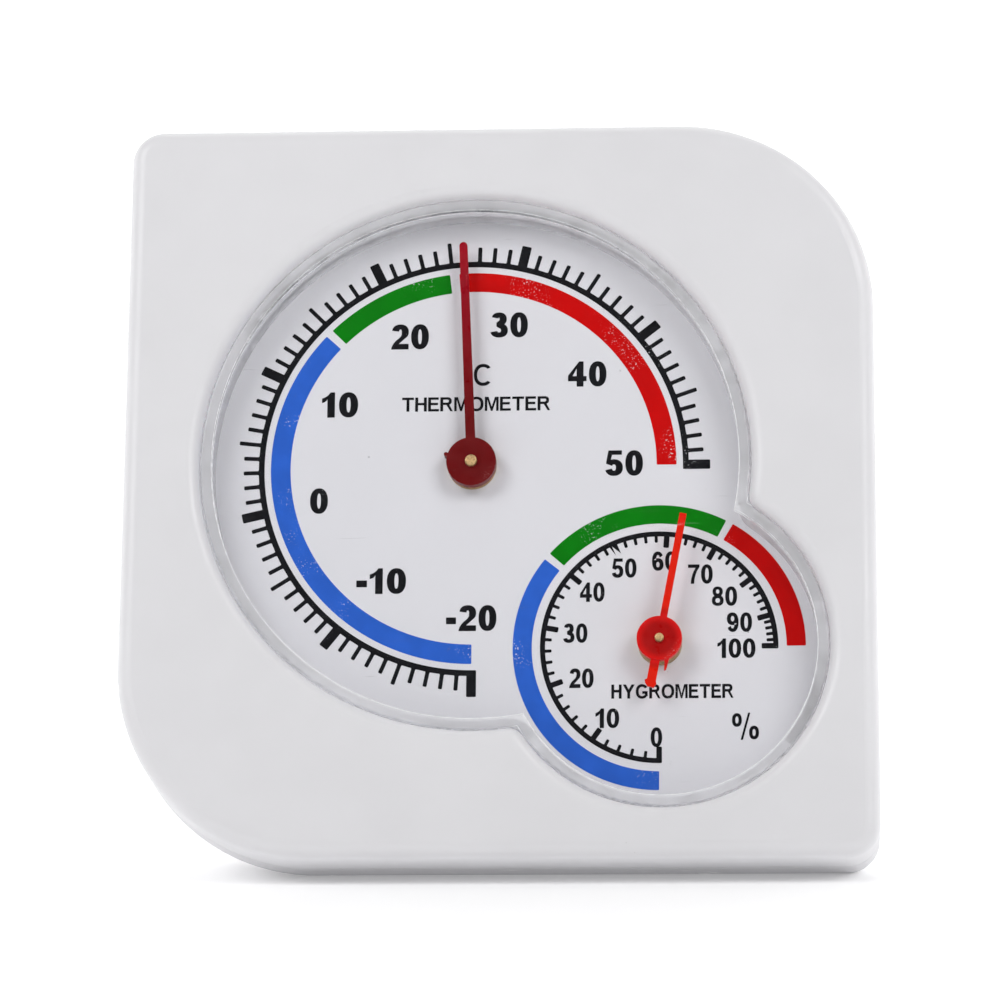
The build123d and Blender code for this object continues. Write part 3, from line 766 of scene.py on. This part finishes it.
COLDEST, WARMEST = -20, 50
THERMOMETER_RING = (20.63, 21.2)
THERMOMETER_TIP = 23.3
THERMOMETER_SHORT_TIP = 22.7
THERMOMETER_TENS_WIDTH = 0.95
THERMOMETER_WIDTH = 0.4
THERMOMETER_BAND = (18.05, 20.0)
THERMOMETER_BANDS = (("blue", -20, 14.4), ("green", 15, 24.8), ("red", 25.5, 50))
THERMOMETER_HEIGHT = 2.6
# each numeral's text, middle right and up, and width, in millimetres. The places are those
# that a measuring script worked out from points read on the photograph.
THERMOMETER_NUMERALS = (
    ("-20", -0.05, -15.4, 4.93), ("-10", -8.92, -11.6, 4.88), ("0", -15.18, -3.4, 1.76),
    ("10", -13.27, 6.46, 3.6), ("20", -6.41, 13.44, 3.75), ("30", 3.44, 14.57, 3.7),
    ("40", 11.2, 9.39, 3.8), ("50", 14.87, 0.19, 3.66),
)

# degrees from each ten to the next, measured on the photograph
HUMIDITY_STEPS = (35, 35, 30, 30, 27, 27, 25, 24, 21, 16)
HYGROMETER_RING = (11.58, 11.08)
HYGROMETER_TENS_TIP = 9.95
HYGROMETER_TIP = 10.45
HYGROMETER_TENS_WIDTH = 0.54
HYGROMETER_WIDTH = 0.31
HYGROMETER_BAND = (12.38, 14.24)
BAND_SPACE = 1.5  # degrees from a ten to a band's end
HYGROMETER_HEIGHT = 1.95
# as for the thermometer's numerals
HYGROMETER_NUMERALS = (
    ("0", -0.26, -9.02, 1.11), ("10", -5.01, -7.11, 2.3), ("20", -7.54, -3.11, 2.38),
    ("30", -8.14, 1.4, 2.35), ("40", -6.5, 5.51, 2.4), ("50", -3.38, 7.91, 2.38),
    ("60", 0.53, 8.58, 2.4), ("70", 4.04, 7.24, 2.4), ("80", 6.37, 5.0, 2.46),
    ("90", 7.81, 2.38, 2.45), ("100", 7.51, -0.22, 3.68),
)


def thermometer_angle(celsius):
    """Angle of a temperature on the scale, clockwise from straight up."""
    return SCALE_START + (celsius - COLDEST) * (SCALE_END - SCALE_START) / (WARMEST - COLDEST)


def print_thermometer(black, blue, green, red):
    """Scale, coloured bands and lettering of the thermometer."""
    place = on_dial("temperature", THERMOMETER_PRINT)
    teeth = []
    for celsius in range(COLDEST, WARMEST + 1):
        angle = thermometer_angle(celsius)
        if celsius % 10 == 0:
            teeth.append((angle, THERMOMETER_TIP, THERMOMETER_TENS_WIDTH))
        elif celsius % 5 == 0:
            teeth.append((angle, THERMOMETER_TIP, THERMOMETER_WIDTH))
        else:
            teeth.append((angle, THERMOMETER_SHORT_TIP, THERMOMETER_WIDTH))
    scale = print_curve("thermometer_scale", [comb(*THERMOMETER_RING, teeth)])
    print_piece("thermometer_scale", scale, place, black)
    for (name, start, end), look in zip(THERMOMETER_BANDS, (blue, green, red)):
        outline = band(*THERMOMETER_BAND, thermometer_angle(start), thermometer_angle(end))
        print_piece(f"thermometer_band_{name}", print_curve(name, [outline]), place, look)
    for text, x, y, width in THERMOMETER_NUMERALS:
        name = "thermometer_numeral_" + text.replace("-", "minus")
        lettering(name, text, (x, y), THERMOMETER_HEIGHT, width, HEAVY, GAP, place, black)
    lettering("thermometer_title", "THERMOMETER", (0.22, 6.41), 1.45, 14.67, LIGHT, GAP, place, black)
    lettering("thermometer_unit", "C", (0.9, 9.41), 2.2, 1.85, UNIT, 0, place, black)
    lettering("thermometer_degree", "o", (-0.62, 10.1), 0.8, 0.8, DEGREE, 0, place, black)


def hygrometer_angles():
    """Angles of the humidity scale's tens, clockwise from straight up."""
    angles = [SCALE_START]
    for step in HUMIDITY_STEPS:
        angles.append(angles[-1] + step)
    return angles


def print_hygrometer(black, blue, green, red):
    """Scale, coloured bands and lettering of the hygrometer."""
    place = on_dial("humidity", HYGROMETER_PRINT)
    tens = hygrometer_angles()
    teeth = []
    for low, high in zip(tens, tens[1:]):
        teeth.append((low, HYGROMETER_TENS_TIP, HYGROMETER_TENS_WIDTH))
        for i in range(1, 5):
            teeth.append((low + (high - low) * i / 5, HYGROMETER_TIP, HYGROMETER_WIDTH))
    teeth.append((tens[-1], HYGROMETER_TENS_TIP, HYGROMETER_TENS_WIDTH))
    scale = print_curve("hygrometer_scale", [comb(*HYGROMETER_RING, teeth)])
    print_piece("hygrometer_scale", scale, place, black)
    for name, start, end, look in (
        ("blue", tens[0], tens[4] - BAND_SPACE, blue),
        ("green", tens[4] + BAND_SPACE, tens[7] - BAND_SPACE, green),
        ("red", tens[7] + BAND_SPACE, tens[10], red),
    ):
        outline = band(*HYGROMETER_BAND, start, end)
        print_piece(f"hygrometer_band_{name}", print_curve(name, [outline]), place, look)
    for text, x, y, width in HYGROMETER_NUMERALS:
        name = f"hygrometer_numeral_{text}"
        lettering(name, text, (x, y), HYGROMETER_HEIGHT, width, BOLD, GAP, place, black)
    lettering("hygrometer_title", "HYGROMETER", (1.29, -4.47), 1.4, 11.83, MEDIUM, GAP, place, black)
    lettering("hygrometer_unit", "%", (8.34, -7.99), 2.5, 2.6, PERCENT, 0, place, black)


# ================================================================== stage
# the floor's outline, in metres
FLOOR_FRONT = -3.0
FLOOR_BACK = 1.2
SWEEP_RADIUS = 0.6
WALL_TOP = 2.6
FLOOR_HALF_WIDTH = 4.0
SWEEP_STEPS = 24
# the floor's own glow rises from one strength to another between two distances behind the object
GLOW = (0.03, 0.7, 0.16, 1.0)

AMBIENT = 0.04  # strength of the white surroundings
LIGHTS_AIM = (0, 0, 0.035)
# each softbox's name, place, side in metres and power in watts
SOFTBOXES = (
    ("softbox_left", (-0.75, -0.75, 0.95), 0.7, 8.0),
    ("softbox_right", (0.75, -0.75, 0.95), 0.7, 8.0),
    ("softbox_top", (0.0, 0.35, 1.3), 0.9, 4.2),
    ("side_left", (-1.1, 0.25, 0.3), 0.7, 3.0),
    ("side_right", (1.1, 0.25, 0.3), 0.7, 3.0),
)


def add_floor():
    """A pale sheet of paper that lies on the floor and sweeps up behind."""
    profile = [(FLOOR_FRONT, 0.0)]
    for i in range(SWEEP_STEPS + 1):
        turn = radians(90 * i / SWEEP_STEPS)
        profile.append((FLOOR_BACK + SWEEP_RADIUS * sin(turn), SWEEP_RADIUS * (1 - cos(turn))))
    profile.append((FLOOR_BACK + SWEEP_RADIUS, WALL_TOP))
    vertices = [(x, y, z) for y, z in profile for x in (-FLOOR_HALF_WIDTH, FLOOR_HALF_WIDTH)]
    faces = [(2 * i, 2 * i + 1, 2 * i + 3, 2 * i + 2) for i in range(len(profile) - 1)]
    mesh = bpy.data.meshes.new("floor")
    mesh.from_pydata(vertices, [], faces)
    mesh.shade_smooth()
    look = Look("floor_paper", (0.93, 0.93, 0.935), 0.6)
    look.shader.inputs["Emission Color"].default_value = (1, 1, 1, 1)
    look.link(look.fit(look.part("Y"), *GLOW), look.shader.inputs["Emission Strength"])
    look.tint(look.fit(look.noise(60, 2), 0.4, 0.7, 0, 0.3), (0.91, 0.91, 0.915))
    look.bump(look.noise(0.6, 2), 0.01)
    mesh.materials.append(look.material)
    floor = bpy.data.objects.new("floor", mesh)
    bpy.context.scene.collection.objects.link(floor)


def add_softbox(name, place, size, power):
    """A square area light that faces the dial."""
    data = bpy.data.lights.new(name, "AREA")
    data.size = size
    data.energy = power
    light = bpy.data.objects.new(name, data)
    light.location = place
    towards = Vector(LIGHTS_AIM) - Vector(place)
    light.rotation_mode = "QUATERNION"
    light.rotation_quaternion = towards.to_track_quat("-Z", "Y")
    bpy.context.scene.collection.objects.link(light)


def add_lights():
    """Dim white surroundings, and softboxes in front, above and at the sides."""
    world = bpy.data.worlds.new("surroundings")
    world.use_nodes = True
    background = world.node_tree.nodes["Background"]
    background.inputs["Color"].default_value = (1.0, 1.0, 1.0, 1)
    background.inputs["Strength"].default_value = AMBIENT
    bpy.context.scene.world = world
    for softbox in SOFTBOXES:
        add_softbox(*softbox)
    bpy.context.scene.view_settings.view_transform = "Standard"


add_camera()
add_lights()
add_floor()
dress_nodes()
inks = [
    ink("ink_black", (0.005, 0.005, 0.007), 0.0, (0.4, 0.4, 0.4)),
    ink("ink_blue", (0.028, 0.13, 0.62), 0.06),
    ink("ink_green", (0.0, 0.2, 0.002), 0.06),
    ink("ink_red", (0.62, 0.0, 0.0), 0.03),
]
print_thermometer(*inks)
print_hygrometer(*inks)
